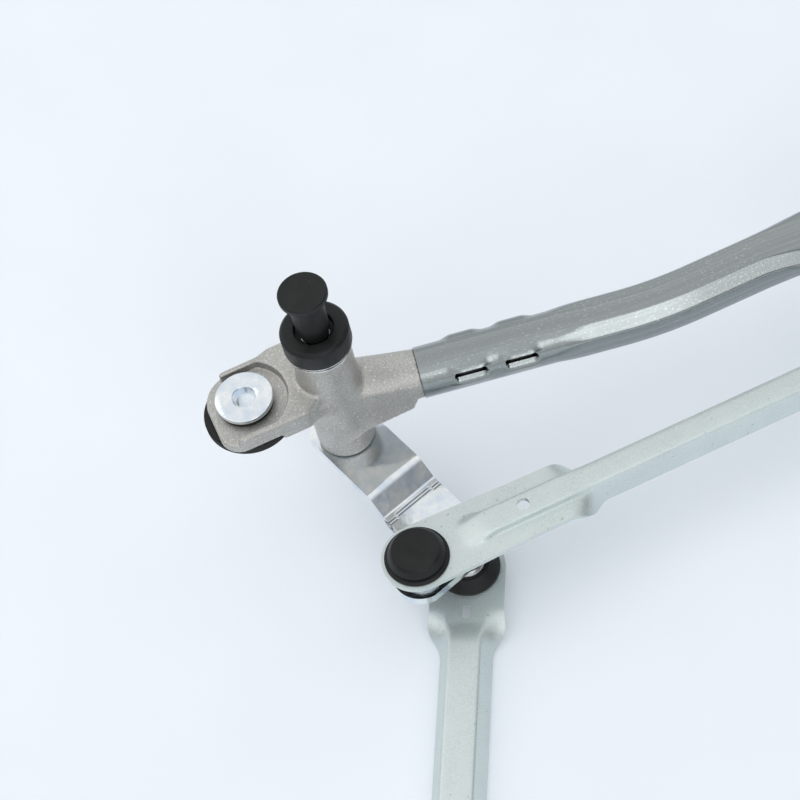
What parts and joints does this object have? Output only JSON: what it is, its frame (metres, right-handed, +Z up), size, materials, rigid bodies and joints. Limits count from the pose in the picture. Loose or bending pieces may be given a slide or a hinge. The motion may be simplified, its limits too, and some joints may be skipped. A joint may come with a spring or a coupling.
{
  "type": "wiper linkage",
  "caption": "Windscreen wiper linkage: die-cast pivots on a bent steel tube, with cranks, a connecting link, a drive link and a motor bracket.",
  "frame": {"origin": "centre of the left fixing sleeve's upper face, where its screw head bears", "axes": "+X from the left pivot to the right pivot, +Y away from the motor bracket, +Z up along the spindles towards the wiper arms"},
  "size_m": [0.673, 0.3119, 0.1217],
  "materials": {
    "tube_steel": "drawn, oiled zinc",
    "zinc_sheet": "passivated zinc plate, pale green grey",
    "zinc_bright": "bright blue zinc plate",
    "cast_aluminium": "blasted die casting",
    "spindle_steel": "turned",
    "bush_bronze": "sintered",
    "black_plastic": "satin",
    "rubber": "matte"
  },
  "bodies": {
    "frame": {"frame_tube": "tube_steel", "motor_bracket": "zinc_sheet", "bracket_rivets": "zinc_bright", "pivot_housing_left": "cast_aluminium", "upper_bush_left": "bush_bronze", "lower_bush_left": "bush_bronze", "dust_collar_left": "black_plastic", "mount_grommet_left": "rubber", "mount_sleeve_left": "zinc_bright", "pivot_housing_right": "cast_aluminium", "upper_bush_right": "bush_bronze", "lower_bush_right": "bush_bronze", "dust_collar_right": "black_plastic", "mount_grommet_right": "rubber", "mount_sleeve_right": "zinc_bright", "mount_grommet_motor": "rubber", "mount_sleeve_motor": "zinc_bright"},
    "left_crank": {"spindle_left": "spindle_steel", "crank_left": "zinc_bright", "link_ball_left": "spindle_steel", "drive_ball": "spindle_steel", "foot_washer_left": "spindle_steel", "top_washer_left": "spindle_steel", "retaining_ring_left": "spindle_steel"},
    "right_crank": {"spindle_right": "spindle_steel", "crank_right": "zinc_bright", "link_ball_right": "spindle_steel", "foot_washer_right": "spindle_steel", "top_washer_right": "spindle_steel", "retaining_ring_right": "spindle_steel"},
    "link": {"connecting_link": "zinc_sheet", "link_socket_left": "black_plastic", "link_socket_right": "black_plastic"},
    "drive": {"drive_link": "zinc_sheet", "drive_socket_crank": "black_plastic", "drive_socket_motor": "black_plastic"},
    "left_cap": {"spindle_cap_left": "black_plastic"},
    "right_cap": {"spindle_cap_right": "black_plastic"}
  },
  "joints": [
    {"name": "wipe_left", "type": "hinge", "parent": "frame", "child": "left_crank", "pos_m": [0.0316, -0.0038, -0.044], "axis": [0, 0, 1], "range_deg": [-60, 30]},
    {"name": "wipe_right", "type": "hinge", "parent": "frame", "child": "right_crank", "pos_m": [0.5516, -0.0038, -0.044], "axis": [0, 0, 1], "range_deg": [-60, 30]},
    {"name": "link_pivot", "type": "hinge", "parent": "left_crank", "child": "link", "pos_m": [0.03336, -0.06898, -0.0421], "axis": [0, 0, 1], "range_deg": [-30, 60]},
    {"name": "drive_pivot", "type": "hinge", "parent": "left_crank", "child": "drive", "pos_m": [0.05118, -0.06777, -0.0631], "axis": [0, 0, 1], "continuous": true},
    {"name": "left_cap_pull", "type": "slide", "parent": "left_crank", "child": "left_cap", "axis": [0, 0, 1], "range_m": [0, 0.03]},
    {"name": "right_cap_pull", "type": "slide", "parent": "right_crank", "child": "right_cap", "axis": [0, 0, 1], "range_m": [0, 0.03]}
  ],
  "couplings": [
    {"joint": "wipe_right", "follows": "wipe_left", "ratio": 1},
    {"joint": "link_pivot", "follows": "wipe_left", "ratio": -1}
  ]
}
